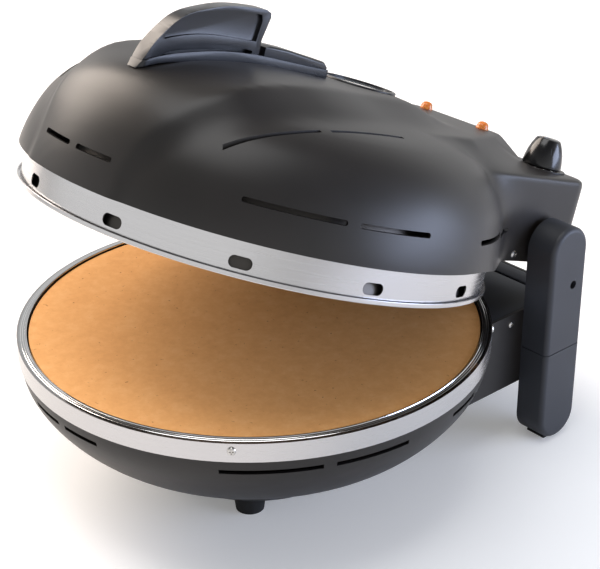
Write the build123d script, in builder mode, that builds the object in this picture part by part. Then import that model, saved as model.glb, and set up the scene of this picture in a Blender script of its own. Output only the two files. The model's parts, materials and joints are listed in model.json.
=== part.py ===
"""Countertop electric pizza maker: a round baking stone in a bowl-shaped base, under a heated lid
that swings up about two posts at the rear.

Millimetres, +Z up, +Y to the rear (the hinge side), +X to the right of a person at the front.
The base's pieces are modelled with Z = 0 at the top of the stone and the origin on the stone's
axis. The lid's pieces are modelled shut, with Z = 0 at the underside of the lid's steel flange.
The last section stands everything on the worktop and swings the lid open to its rest position.
"""

import os
from math import cos, radians, sin, tan

from build123d import *

os.makedirs("parts", exist_ok=True)

# ---- driving dimensions -----------------------------------------------------------------------
stone_radius = 165.0
stone_thickness = 12.0
ring_radius = 173.4  # outside of the base's steel band
band_low = -13.4  # lower edge of that band
band_high = 0.6
sheet = 1.0  # steel sheet of the two bands
pan_sheet = 0.8  # thinner sheet of the tray and the lid's reflector
wall = 2.5  # moulded shells
bowl_floor = -113.0  # underside of the base's bowl
worktop = -123.0  # what the feet stand on
lid_rise = 3.0  # underside of the shut lid's flange above the stone
lid_open_angle = 19.9  # how far the lid stands open at rest
hinge_y = 200.5
hinge_z = 39.0  # hinge axis above the stone's top
lid_edge = 24.0  # lower edge of the lid's moulded shell above the flange
lid_band_radius = 167.7
lid_flange_radius = 170.4
tail_half_width = 105.0  # the lid's square rear part, between the posts
tail_bottom = 15.5
tail_top = 81.5
tail_rear = 237.0
neck_half_width = 109.3  # the base's rear part, which carries the posts
neck_front = 100.0
neck_rear = 226.0
neck_top = -12.0
neck_bottom = -74.0
post_inner = 109.5
post_outer = 134.5
post_front = 173.5
post_rear = 213.0
post_top = 57.5
post_seam = -43.5  # joint between the two covers of each post
pin_radius = 5.0
screw_radius = 2.0
element_radius = 3.25
element_loop = 118.0
element_leg = 12.0  # each end of an element, off the middle
window_y = 68.0
slot_height = 3.4

hinge_local_z = hinge_z - lid_rise  # hinge axis in the lid's own heights
running_gap = 0.05  # radial clearance of the turning fits
slot_spans = [(1.2, 12), (42, 65), (68, 86.5)]  # degrees from the front, alike in base and lid
post_middle_y = (post_front + post_rear) / 2
CENTRED_LOW = (Align.CENTER, Align.CENTER, Align.MIN)
ALONG_X = (0, 90, 0)
ALONG_Y = (90, 0, 0)


# ---- helpers ----------------------------------------------------------------------------------
def inset_outline(points, inset):
    """Move each (radius, height, slope of the outward normal) point inwards, square to the wall."""
    return [
        (r - inset * cos(radians(slope)), z - inset * sin(radians(slope)))
        for r, z, slope in points
    ]


def ring(inner, outer, low, high):
    """A plain flat ring about Z."""
    with BuildPart() as body:
        with BuildSketch(Plane.XY.offset(low)):
            Circle(outer)
            if inner:
                Circle(inner, mode=Mode.SUBTRACT)
        extrude(amount=high - low)
    return body.part


def slot_cutter(angle_from, angle_to, radius, low, height=slot_height, depth=24):
    """A curved slot cutter. Angles run from the front towards +X, in degrees."""
    with BuildPart() as cutter:
        with BuildSketch(Plane.XZ):
            with Locations((radius, low + height / 2)):
                Rectangle(depth, height)
        revolve(axis=Axis.Z, revolution_arc=angle_to - angle_from)
    return cutter.part.rotate(Axis.Z, angle_from - 90)


def sheet_pan(points, thickness, side):
    """A turned pan of sheet metal, whose half outline runs from its edge to the axis."""
    with BuildPart() as pan:
        with BuildSketch(Plane.XZ):
            with BuildLine():
                Polyline(*points)
                offset(amount=thickness, side=side)
            make_face()
        revolve(axis=Axis.Z)
    return pan.part


def heating_tube(height):
    """A sheathed heating element: one open loop with both ends led out to the rear."""
    rear_end = 186.0
    start_y = (element_loop**2 - element_leg**2) ** 0.5
    with BuildPart() as tube:
        with BuildLine(Plane.XY.offset(height)) as route:
            Line((element_leg, rear_end), (element_leg, start_y))
            ThreePointArc((element_leg, start_y), (0, -element_loop), (-element_leg, start_y))
            Line((-element_leg, start_y), (-element_leg, rear_end))
            fillet(route.vertices().filter_by_position(Axis.Y, start_y - 1, start_y + 1), 8)
        with BuildSketch(Plane((element_leg, rear_end, height), z_dir=(0, -1, 0))):
            Circle(element_radius)
        sweep()
    return tube.part


def element_clips(low, high, height):
    """Three stand-offs that hold a heating element off its reflector."""
    with BuildPart() as clips:
        with PolarLocations(element_loop, 3, -90):
            with Locations((0, 0, (low + high) / 2)):
                Box(12, 3, high - low)
        with PolarLocations(element_loop, 3, -90):
            with Locations((0, 0, height)):
                Cylinder(element_radius + 0.1, 10, rotation=ALONG_Y, mode=Mode.SUBTRACT)
    return clips.part


def mirrored(solid):
    """The same piece on the left side."""
    return solid.mirror(Plane.YZ)


# ---- base shell -------------------------------------------------------------------------------
bowl_outline = [
    (172.2, band_low, 0),
    (163.5, -40.0, -24),
    (146.0, -60.0, -43),
    (117.0, -79.5, -56),
    (90.0, -97.0, -58),
    (50.0, bowl_floor, -90),
]
bottom_opening = 38.0
rim_inner = 169.6
rim_top = -0.2
inlet_x, inlet_z, inlet_radius = -62.0, -48.0, 8.0
neck_screw_y, neck_screw_z = 160.0, -20.0
bracket_screw_heights = (-28.0, -64.0)
band_screw_z = -4.8
foot_x, foot_y = 46.0, -46.0
cover_screw_circle = 44.0
base_slot_low = -24.2
neck_corner = 9.0


def bowl(inset):
    """The base's bowl as a full solid, with its wall moved inwards by inset."""
    points = inset_outline(bowl_outline, inset)
    with BuildPart() as body:
        with BuildSketch(Plane.XZ):
            with BuildLine():
                Spline(*points, tangents=[(0, -1), (-1, 0)])
                Polyline(points[-1], (0, points[-1][1]), (0, band_low), points[0])
            make_face()
        revolve(axis=Axis.Z)
    return body.part


def neck(inset, top):
    """The square rear part of the base as a full solid."""
    length = neck_rear - inset - neck_front
    with BuildPart() as body:
        with BuildSketch(Plane.XY.offset(neck_bottom + inset)):
            with Locations((0, neck_front + length / 2)):
                Rectangle(2 * (neck_half_width - inset), length)
        extrude(amount=top - neck_bottom - inset)
        fillet(body.edges().filter_by(Axis.Z).group_by(Axis.Y)[-1], neck_corner - inset)
    return body.part


with BuildPart() as base_shell:
    add(neck(0, neck_top))
    add(ring(0, ring_radius + 0.1, band_low, 20), mode=Mode.SUBTRACT)
    add(bowl(0))
    add(ring(rim_inner, 172.2, band_low, rim_top))
    add(bowl(wall), mode=Mode.SUBTRACT)
    add(neck(wall, neck_top + 1), mode=Mode.SUBTRACT)
    add(ring(0, bottom_opening, bowl_floor - 1, bowl_floor + wall + 1), mode=Mode.SUBTRACT)
    for near, far in slot_spans + [(102, 113)]:
        add(slot_cutter(near, far, 171, base_slot_low), mode=Mode.SUBTRACT)
        add(slot_cutter(-far, -near, 171, base_slot_low), mode=Mode.SUBTRACT)
    with Locations((inlet_x, neck_rear, inlet_z)):
        Cylinder(inlet_radius, 12, rotation=ALONG_Y, mode=Mode.SUBTRACT)
    with Locations(*[(0, hinge_y, height) for height in bracket_screw_heights]):
        Cylinder(2.7, 240, rotation=ALONG_X, mode=Mode.SUBTRACT)
    with Locations((0, neck_screw_y, neck_screw_z)):
        Cylinder(screw_radius, 240, rotation=ALONG_X, mode=Mode.SUBTRACT)
    with Locations((0, 0, band_screw_z)):
        with PolarLocations(171, 4, 45):
            Cylinder(screw_radius, 12, rotation=ALONG_X, mode=Mode.SUBTRACT)
    with Locations(*[(x, foot_y, bowl_floor) for x in (-foot_x, foot_x)]):
        Cylinder(screw_radius, 16, mode=Mode.SUBTRACT)
    with Locations((0, 0, bowl_floor)):
        with PolarLocations(cover_screw_circle, 4, 45):
            Cylinder(screw_radius, 12, mode=Mode.SUBTRACT)

# ---- steel band round the base, with its four screws -------------------------------------------
with BuildPart() as base_band:
    add(ring(ring_radius - sheet, ring_radius, band_low, band_high))
    with Locations((0, 0, band_screw_z)):
        with PolarLocations(ring_radius, 4, 45):
            Cylinder(screw_radius, 6, rotation=ALONG_X, mode=Mode.SUBTRACT)

with BuildPart() as band_screws:
    with Locations((0, 0, band_screw_z)):
        with PolarLocations(ring_radius - 2.4, 4, 45):
            Cylinder(screw_radius, 4.8, rotation=ALONG_X)
        with PolarLocations(ring_radius + 0.8, 4, 45):
            Cylinder(3.0, 1.6, rotation=ALONG_X)

# ---- baking stone, its tray and the rim round it -----------------------------------------------
tray_outline = [(172.2, 0.6), (166.0, 0.6), (166.0, -12.0), (157.0, -12.0), (153.0, -36.0), (0, -36.0)]
lower_element_z = -25.0

with BuildPart() as pizza_stone:
    add(ring(0, stone_radius, -stone_thickness, 0))
    fillet(pizza_stone.edges().group_by(Axis.Z)[-1], 0.8)

with BuildPart() as stone_tray:
    add(sheet_pan(tray_outline, pan_sheet, Side.LEFT))
    with Locations(*[(x, 155, lower_element_z) for x in (-element_leg, element_leg)]):
        Cylinder(element_radius + 0.4, 20, rotation=ALONG_Y, mode=Mode.SUBTRACT)

with BuildPart() as stone_rim:
    add(ring(166.2, 167.8, 0.6, 1.7))

# ---- heating, insulation and electrics inside the base -------------------------------------------
with BuildPart() as lower_element:
    add(heating_tube(lower_element_z))

with BuildPart() as lower_element_clips:
    add(element_clips(-36.0, -24.0, lower_element_z))

with BuildPart() as lower_insulation:
    add(ring(0, 148, -50, -36.8))

with BuildPart() as terminal_block:
    with Locations((-30, 196, -62)):
        Box(36, 16, 14)
        with Locations((-12, 0, 7), (0, 0, 7), (12, 0, 7)):
            Cylinder(3.2, 8, mode=Mode.SUBTRACT)

with BuildPart() as thermal_cutout:
    with Locations((34, 190, -44)):
        Cylinder(8, 9, align=CENTRED_LOW)
        with Locations((0, 0, 9)):
            Box(24, 6, 0.8, align=CENTRED_LOW)

with BuildPart() as mains_inlet_gland:
    with BuildSketch(Plane.XZ.offset(-neck_rear - 3.5)):
        with Locations((inlet_x, inlet_z)):
            Circle(11.0)
    extrude(amount=3.5)
    with BuildSketch(Plane.XZ.offset(-neck_rear)):
        with Locations((inlet_x, inlet_z)):
            Circle(inlet_radius - 0.1)
    extrude(amount=14)
    with Locations((inlet_x, neck_rear - 5, inlet_z)):
        Cylinder(3.6, 40, rotation=ALONG_Y, mode=Mode.SUBTRACT)

# ---- bottom cover and feet ---------------------------------------------------------------------
cover_radius = 50.0
cover_thickness = 2.3
cover_low = bowl_floor - cover_thickness
foot_places = [(-foot_x, foot_y), (foot_x, foot_y)]

with BuildPart() as bottom_cover:
    add(ring(0, cover_radius, cover_low, bowl_floor))
    with Locations((0, 0, cover_low)):
        with PolarLocations(26, 10):
            Cylinder(3, 10, mode=Mode.SUBTRACT)
        with PolarLocations(cover_screw_circle, 4, 45):
            Cylinder(screw_radius, 10, mode=Mode.SUBTRACT)

with BuildPart() as front_feet:
    for x, y in foot_places:
        with Locations((x, y, worktop)):
            Cone(10.5, 13.5, 24, align=CENTRED_LOW)
            Cylinder(4.4, 4.0, align=CENTRED_LOW, mode=Mode.SUBTRACT)
            Cylinder(screw_radius, 30, align=CENTRED_LOW, mode=Mode.SUBTRACT)
    add(bowl(0), mode=Mode.SUBTRACT)

with BuildPart() as foot_screws:
    with Locations(*[(x, y, worktop + 4) for x, y in foot_places]):
        Cylinder(screw_radius, 14, align=CENTRED_LOW)
        with Locations((0, 0, -2.6)):
            Cylinder(3.9, 2.6, align=CENTRED_LOW)

with BuildPart() as cover_screws:
    with Locations((0, 0, cover_low)):
        with PolarLocations(cover_screw_circle, 4, 45):
            Cylinder(screw_radius, 9, align=CENTRED_LOW)
            with Locations((0, 0, -2)):
                Cylinder(3.6, 2, align=CENTRED_LOW)

# ---- covers on top of the neck -----------------------------------------------------------------
neck_cover_seam = 207.0
neck_cover_gap = 1.0
neck_inner = neck_half_width - wall - 0.1

with BuildPart() as neck_cover:
    with BuildSketch(Plane.XY.offset(neck_top - wall)):
        length = neck_cover_seam - neck_cover_gap - neck_front
        with Locations((0, neck_front + length / 2)):
            Rectangle(2 * neck_inner, length)
        Circle(ring_radius + 0.4, mode=Mode.SUBTRACT)
    extrude(amount=wall)

with BuildPart() as rear_cover:
    with BuildSketch(Plane.XY.offset(neck_top - wall)):
        length = neck_rear - wall - 0.1 - neck_cover_seam - neck_cover_gap
        with Locations((0, neck_cover_seam + neck_cover_gap + length / 2)):
            Rectangle(2 * neck_inner, length)
    extrude(amount=wall)
    fillet(rear_cover.edges().filter_by(Axis.Z).group_by(Axis.Y)[-1], neck_corner - wall)

with BuildPart() as neck_screws:
    with Locations((neck_half_width, neck_screw_y, neck_screw_z)):
        Cylinder(2.8, 1.4, rotation=ALONG_X, align=CENTRED_LOW)
        Cylinder(screw_radius, 8, rotation=ALONG_X, align=(Align.CENTER, Align.CENTER, Align.MAX))
    mirror(about=Plane.YZ)

# ---- posts, brackets and hinge pins -------------------------------------------------------------
post_foot_radius = 12.0
post_pad = 1.6  # rubber pad under each post
post_edge = 4.0  # rounding of the outer face
post_screw_y, post_screw_z = 198.8, 9.9
bracket_inner = post_inner + wall + 0.3
bracket_thickness = 4.0
bracket_y = 196.0  # middle of each bracket
pin_head_x = bracket_inner + bracket_thickness


def post_solid(inset):
    """One post as a full solid, inset on every side."""
    bottom = worktop + post_pad + inset
    top = post_top - inset
    depth = post_rear - post_front - 2 * inset
    with BuildPart() as body:
        with BuildSketch(Plane.YZ.offset(post_inner + inset)) as outline:
            with Locations((post_middle_y, (bottom + top) / 2)):
                Rectangle(depth, top - bottom)
            corners = outline.vertices().group_by(Axis.Z)
            fillet(corners[-1], depth / 2 - 0.1)
            fillet(corners[0], post_foot_radius - inset)
        extrude(amount=post_outer - post_inner - 2 * inset)
        fillet(body.faces().sort_by(Axis.X)[-1].edges(), post_edge - inset)
    return body.part


def post_cover(low, high):
    """The hollow cover of a right-hand post between two heights."""
    with BuildPart() as cover:
        add(post_solid(0))
        add(post_solid(wall), mode=Mode.SUBTRACT)
        with Locations((0, 0, (low + high) / 2)):
            Box(600, 600, high - low, mode=Mode.INTERSECT)
        with Locations(*[(post_inner, hinge_y, height) for height in bracket_screw_heights]):
            Cylinder(2.7, 12, rotation=ALONG_X, mode=Mode.SUBTRACT)
    return cover.part


with BuildPart() as post_cover_right_upper:
    add(post_cover(post_seam + 0.3, post_top + 1))
    with Locations((pin_head_x, post_screw_y, post_screw_z)):
        Cylinder(5.3, post_outer - 1 - pin_head_x, rotation=ALONG_X, align=CENTRED_LOW)
    with Locations((post_inner, hinge_y, hinge_z)):
        Cylinder(pin_radius + 0.6, 12, rotation=ALONG_X, mode=Mode.SUBTRACT)
    with Locations((post_outer + 1, post_screw_y, post_screw_z)):
        Cylinder(3.3, 12, rotation=ALONG_X, align=(Align.CENTER, Align.CENTER, Align.MAX), mode=Mode.SUBTRACT)
        Cylinder(screw_radius, 30, rotation=ALONG_X, align=(Align.CENTER, Align.CENTER, Align.MAX), mode=Mode.SUBTRACT)

with BuildPart() as post_cover_right_lower:
    add(post_cover(worktop, post_seam - 0.3))

with BuildPart() as post_cover_left_upper:
    add(mirrored(post_cover_right_upper.part))

with BuildPart() as post_cover_left_lower:
    add(mirrored(post_cover_right_lower.part))

with BuildPart() as post_pads:
    pad_length = post_rear - post_front - 2 * post_foot_radius
    with Locations(*[(side * (post_inner + 10.5), post_middle_y, worktop) for side in (-1, 1)]):
        Box(17, pad_length, post_pad, align=CENTRED_LOW)

with BuildPart() as hinge_bracket_right:
    with BuildSketch(Plane.YZ.offset(bracket_inner)) as outline:
        with Locations((bracket_y, (hinge_z + 12 - 108) / 2)):
            Rectangle(26, hinge_z + 12 + 108)
        fillet(outline.vertices().group_by(Axis.Z)[-1], 12)
    extrude(amount=bracket_thickness)
    with Locations((bracket_inner, hinge_y, hinge_z)):
        Cylinder(pin_radius, 12, rotation=ALONG_X, mode=Mode.SUBTRACT)
    with Locations(*[(bracket_inner, hinge_y, height) for height in bracket_screw_heights]):
        Cylinder(2.5, 12, rotation=ALONG_X, mode=Mode.SUBTRACT)
    with Locations((bracket_inner, post_screw_y, post_screw_z)):
        Cylinder(screw_radius, 12, rotation=ALONG_X, mode=Mode.SUBTRACT)

with BuildPart() as hinge_bracket_left:
    add(mirrored(hinge_bracket_right.part))

pin_tip = 97.0
with BuildPart() as hinge_pin_right:
    with BuildSketch(Plane.YZ.offset(pin_tip)):
        with Locations((hinge_y, hinge_z)):
            Circle(pin_radius)
    extrude(amount=pin_head_x - pin_tip)
    chamfer(hinge_pin_right.edges().group_by(Axis.X)[0], 0.6)
    with BuildSketch(Plane.YZ.offset(pin_head_x)):
        with Locations((hinge_y, hinge_z)):
            Circle(7)
    extrude(amount=4)

with BuildPart() as hinge_pin_left:
    add(mirrored(hinge_pin_right.part))

neck_wall_inner = neck_half_width - wall
with BuildPart() as bracket_screws:
    for height in bracket_screw_heights:
        with Locations((neck_wall_inner, hinge_y, height)):
            Cylinder(2.5, pin_head_x + 2 - neck_wall_inner, rotation=ALONG_X, align=CENTRED_LOW)
            Cylinder(4.5, 3, rotation=ALONG_X, align=(Align.CENTER, Align.CENTER, Align.MAX))
    mirror(about=Plane.YZ)

with BuildPart() as post_cover_screws:
    with Locations((post_outer + 1 - 12, post_screw_y, post_screw_z)):
        Cylinder(3.1, 2.4, rotation=ALONG_X, align=CENTRED_LOW)
        length = post_outer + 1 - 12 - bracket_inner
        Cylinder(screw_radius, length, rotation=ALONG_X, align=(Align.CENTER, Align.CENTER, Align.MAX))
    mirror(about=Plane.YZ)

# ---- lid: the outer form, used for the shell and to seat what stands on it -----------------------
dome_outline = [
    (173.6, lid_edge, 7),
    (169.4, 44.0, 16),
    (161.0, 64.0, 30),
    (146.0, 82.0, 50),
    (105.0, 97.3, 74),
    (0.0, 102.3, 90),
]
# The raised band over the lid: where its middle line runs (y, z), how far that line leans
# forward from level, half the band's width, how far its edges drop below its middle, and how
# steeply its sides fall away.
band_stations = [
    (-177, 5, 88, 48, 5.7, 45),
    (-173, 40, 80, 46.5, 7.2, 41),
    (-163, 72, 66, 52.5, 8.7, 38),
    (-147, 95.4, 40, 58, 11.5, 39),
    (-107, 109, 15, 65.5, 3.5, 40),
    (-50, 115.6, 3, 62, 2.0, 31),
    (25, 113.6, -2, 49, 1.0, 22),
    (86, 111.0, -4, 40, 0.9, 27),
    (110, 104.5, -20, 39, 0.8, 27),
    (140, 97.5, -8, 39, 0.8, 27),
]
band_splay, band_round = 30.0, 4.0
plateau_top = 98.0
plateau_outline = [(40, 194), (56, 166), (81, 111), (87, 62)]  # its right side, from the rear
tail_corner = 12.0


def dome(inset):
    """The lower round form of the lid."""
    points = inset_outline(dome_outline, inset)
    low = lid_edge - (1 if inset else 0)
    with BuildPart() as body:
        with BuildSketch(Plane.XZ):
            with BuildLine():
                Spline(*points, tangents=[(-sin(radians(6)), cos(radians(6))), (-1, 0)])
                if inset:
                    Line(points[0], (points[0][0], low))
                Polyline(points[-1], (0, low), (points[0][0], low))
            make_face()
        revolve(axis=Axis.Z)
    return body.part


def raised_band(inset):
    """The band that rises over the middle of the lid, lofted through its stations."""
    with BuildPart() as body:
        for y, z, lean, half_width, crown, fall in band_stations:
            drop = band_splay * tan(radians(fall))
            up = Vector(0, -sin(radians(lean)), cos(radians(lean)))
            origin = Vector(0, y, z) - up * inset
            half = half_width - 0.6 * inset
            with BuildSketch(Plane(origin, x_dir=(1, 0, 0), z_dir=Vector(1, 0, 0).cross(up))) as cut:
                with BuildLine():
                    ThreePointArc((-half, -crown), (0, 0), (half, -crown))
                    Polyline(
                        (half, -crown),
                        (half + band_splay, -crown - drop),
                        (-half - band_splay, -crown - drop),
                        (-half, -crown),
                    )
                make_face()
                shoulders = [v for v in cut.sketch_local.vertices() if v.Y > -crown - 1]
                fillet(shoulders, band_round)
        loft()
    return body.part


def tail(inset):
    """The square rear part that holds the controls and the hinge."""
    low = tail_bottom - (1 if inset else 0)
    with BuildPart() as body:
        with BuildSketch(Plane.YZ):
            with BuildLine():
                Polyline(
                    (0, low),
                    (tail_rear - inset, low),
                    (tail_rear + 2 - inset, 50),
                    (tail_rear - 3 - inset, tail_top - inset),
                    (0, tail_top - inset),
                    (0, low),
                )
            make_face()
        extrude(amount=tail_half_width - inset, both=True)
        corners = [e for e in body.edges() if e.center().Y > 200 and abs(e.tangent_at(0.5).Z) > 0.7]
        fillet(corners, tail_corner - inset)
    return body.part


def plateau(inset):
    """The flat rise behind the band, which carries the lamps."""
    right = [(x - 0.5 * inset, y - 0.5 * inset) for x, y in plateau_outline]
    with BuildPart() as body:
        with BuildSketch(Plane.XY.offset(plateau_top - inset)) as outline:
            with BuildLine():
                Polyline(*right, *[(-x, y) for x, y in reversed(right)], close=True)
            make_face()
            fillet(outline.vertices().group_by(Axis.Y)[-1], 10)
        extrude(amount=-24, taper=-45)
    return body.part


def lid_form(inset):
    """The whole lid as a full solid, inset from its outer surface."""
    with BuildPart() as body:
        add(dome(inset))
        add(raised_band(inset))
        if not inset:
            add(ring(0, 400, -100, lid_edge), mode=Mode.SUBTRACT)
        add(tail(inset))
        add(plateau(inset))
    return body.part


lid_outer = lid_form(0)
lid_inner = lid_form(wall)

# ---- lid shell ----------------------------------------------------------------------------------
window_plane = Plane((0, window_y, 112.0), x_dir=(1, 0, 0), z_dir=(0, sin(radians(2)), cos(radians(2))))
window_hole = 26.8
lamp_x, lamp_y, lamp_stem = 30.0, 183.0, 3.8
dial_x, dial_y = 72.5, 212.0
spindle_bush = 4.8
lid_bush = 8.0
tail_screw_y, tail_screw_z = 165.5, 20.9
plate_inner = tail_half_width - wall - 3.0
plate_screws_at = [(184.0, 54.0), (217.0, 54.0)]
plate_screw = 1.6
handle_screws_at = [(-62.0, 115.2), (5.0, 114.2)]

with BuildPart() as lid_shell:
    add(lid_outer)
    add(lid_inner, mode=Mode.SUBTRACT)
    add(ring(0, 168.3, tail_bottom - 2, lid_edge), mode=Mode.SUBTRACT)
    add(ring(166.5, 171.8, lid_edge, lid_edge + wall))
    for near, far, low in [(1.2, 12, 44.3), (42, 65, 46.3), (68, 86.5, 46.3), (107, 128, 41.8)]:
        add(slot_cutter(near, far, 171, low), mode=Mode.SUBTRACT)
        add(slot_cutter(-far, -near, 171, low), mode=Mode.SUBTRACT)
    for side in (-1, 1):
        with BuildSketch(Plane.XY.offset(60)):
            with BuildLine():
                ThreePointArc((side * 87.8, -127.5), (side * 97.4, -101.5), (side * 104.2, -65))
                offset(amount=1.4)
            make_face()
            with BuildLine():
                ThreePointArc((side * 105.1, -57), (side * 106.7, -26), (side * 107.5, 8))
                offset(amount=1.4)
            make_face()
        extrude(amount=40, mode=Mode.SUBTRACT)
        with Locations((side * tail_half_width, 150, 38)):
            Box(14, 14, slot_height, mode=Mode.SUBTRACT)
    with Locations((0, tail_screw_y, tail_screw_z)):
        Cylinder(screw_radius, 240, rotation=ALONG_X, mode=Mode.SUBTRACT)
    with Locations((0, hinge_y, hinge_local_z)):
        Cylinder(lid_bush, 240, rotation=ALONG_X, mode=Mode.SUBTRACT)
    with Locations(*[(0, y, z) for y, z in plate_screws_at]):
        Cylinder(plate_screw, 2 * tail_half_width - 1.6, rotation=ALONG_X, mode=Mode.SUBTRACT)
    with Locations(*[(side * lamp_x, lamp_y, 90) for side in (-1, 1)]):
        Cylinder(lamp_stem, 20, align=CENTRED_LOW, mode=Mode.SUBTRACT)
    with Locations((dial_x, dial_y, 70)):
        Cylinder(spindle_bush, 20, align=CENTRED_LOW, mode=Mode.SUBTRACT)
    with Locations(*[(0, y, z - 10) for y, z in handle_screws_at]):
        Cylinder(screw_radius, 20, align=CENTRED_LOW, mode=Mode.SUBTRACT)
    with Locations(window_plane):
        Cylinder(window_hole, 30, mode=Mode.SUBTRACT)

# ---- lid band, reflector, upper element ----------------------------------------------------------
with BuildPart() as lid_band:
    with BuildSketch(Plane.XZ):
        with BuildLine():
            inner, outer, lip = lid_band_radius - sheet, lid_band_radius, lid_flange_radius
            Polyline(
                (inner, lid_edge), (outer, lid_edge), (outer, 1.2), (lip - 1, 1.2), (lip - 1, 3),
                (lip, 3), (lip, 0), (inner, 0), (inner, lid_edge),
            )
        make_face()
    revolve(axis=Axis.Z)
    fillet(lid_band.edges().filter_by_position(Axis.Z, -0.01, 0.01).group_by(SortBy.RADIUS)[-1], 0.8)
    with BuildPart(mode=Mode.PRIVATE) as vent:
        with BuildSketch(Plane.XZ.offset(155)):
            with Locations((0, 9.5)):
                RectangleRounded(15, 8, 3.7)
        extrude(amount=25)
    for number in range(12):
        add(vent.part.rotate(Axis.Z, 15 + 30 * number), mode=Mode.SUBTRACT)

upper_element_z = 40.0
reflector_outline = [(lid_band_radius - sheet, 1.0), (164.5, 1.0), (150.0, 50.0), (0, 50.0)]
sleeve_inner, sleeve_outer = 24.2, 26.0

with BuildPart() as lid_reflector:
    add(sheet_pan(reflector_outline, pan_sheet, Side.RIGHT))
    with Locations((0, window_y, 50)):
        Cylinder(sleeve_inner, 10, mode=Mode.SUBTRACT)
    with Locations(*[(x, 150, upper_element_z) for x in (-element_leg, element_leg)]):
        Cylinder(element_radius + 0.4, 30, rotation=ALONG_Y, mode=Mode.SUBTRACT)

with BuildPart() as upper_element:
    add(heating_tube(upper_element_z))

with BuildPart() as upper_element_clips:
    add(element_clips(38.5, 50.0, upper_element_z))

with BuildPart() as lid_insulation:
    add(ring(0, 140, 50 + pan_sheet, 58))
    with Locations((0, window_y, 54)):
        Cylinder(sleeve_outer, 20, mode=Mode.SUBTRACT)

# ---- window -------------------------------------------------------------------------------------
with BuildPart() as window_sleeve:
    with Locations((0, window_y, 50 + pan_sheet)):
        Cylinder(sleeve_outer, 80, align=CENTRED_LOW)
        Cylinder(sleeve_inner, 80, align=CENTRED_LOW, mode=Mode.SUBTRACT)
    split(bisect_by=window_plane.offset(-2.6), keep=Keep.BOTTOM)

with BuildPart() as window_glass:
    with Locations(window_plane.offset(-2.4)):
        Cylinder(sleeve_outer, 2.6, align=CENTRED_LOW)

with BuildPart() as window_bezel:
    with Locations(window_plane.offset(-2.4)):
        Cylinder(28, 4.0, align=CENTRED_LOW)
        Cylinder(sleeve_outer, 2.6, align=CENTRED_LOW, mode=Mode.SUBTRACT)
        Cylinder(25, 10, align=CENTRED_LOW, mode=Mode.SUBTRACT)
    fillet(window_bezel.edges().group_by(Axis.Z)[-1].group_by(SortBy.RADIUS)[-1], 1.0)
    add(lid_shell.part, mode=Mode.SUBTRACT)

# ---- handle -------------------------------------------------------------------------------------
handle_line = [
    (-143.5, 96.6), (-130.7, 102.4), (-107.4, 108.8), (-78.7, 113.6), (-47.9, 115.5), (-9.4, 114.4), (26, 113.5),
]
handle_half = 6.3
strip_half = 7.5
strip_rise = 6.0
recess_depth = 3.0
handle_tip = [(0.6, -144.5), (2.6, -143), (4.4, -138.5), (handle_half, -131)]  # plan of its nose



def handle_plan(half):
    """A tall block with the handle's plan: parallel sides that draw in to a narrow nose."""
    side = [(x * half / handle_half, y) for x, y in handle_tip]
    with BuildPart() as body:
        with BuildSketch(Plane.XY.offset(60)):
            with BuildLine():
                for way in (1, -1):
                    Spline(*[(way * x, y) for x, y in side], tangents=[(way, 0), (0, 1)])
                    Line((way * half, -131), (way * half, 60))
                Line((-half, 60), (half, 60))
                Line((-side[0][0], side[0][1]), side[0])
            make_face()
        extrude(amount=120)
    return body.part


with BuildPart() as handle_screws:
    for y, z in handle_screws_at:
        with Locations((0, y, z)):
            Cylinder(4, 4.5, align=(Align.CENTER, Align.CENTER, Align.MAX))
            Cylinder(screw_radius, 7, align=CENTRED_LOW)
            with Locations((0, 0, -1)):
                Cylinder(4, 12, align=CENTRED_LOW, mode=Mode.SUBTRACT)
                Cylinder(screw_radius, 6, align=CENTRED_LOW)
    add(lid_shell.part, mode=Mode.SUBTRACT)

with BuildPart() as handle_base:
    with BuildSketch(Plane.YZ):
        with BuildLine():
            low = Spline(*[(y, z - 3) for y, z in handle_line])
            high = Spline((-137.6, 105.4), *[(y, z + strip_rise) for y, z in handle_line[1:]])
            Line(low @ 0, high @ 0)
            Line(low @ 1, high @ 1)
        make_face()
    extrude(amount=strip_half, both=True)
    add(handle_plan(strip_half), mode=Mode.INTERSECT)
    add(lid_outer, mode=Mode.SUBTRACT)
    add(handle_screws.part, mode=Mode.SUBTRACT)

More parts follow.
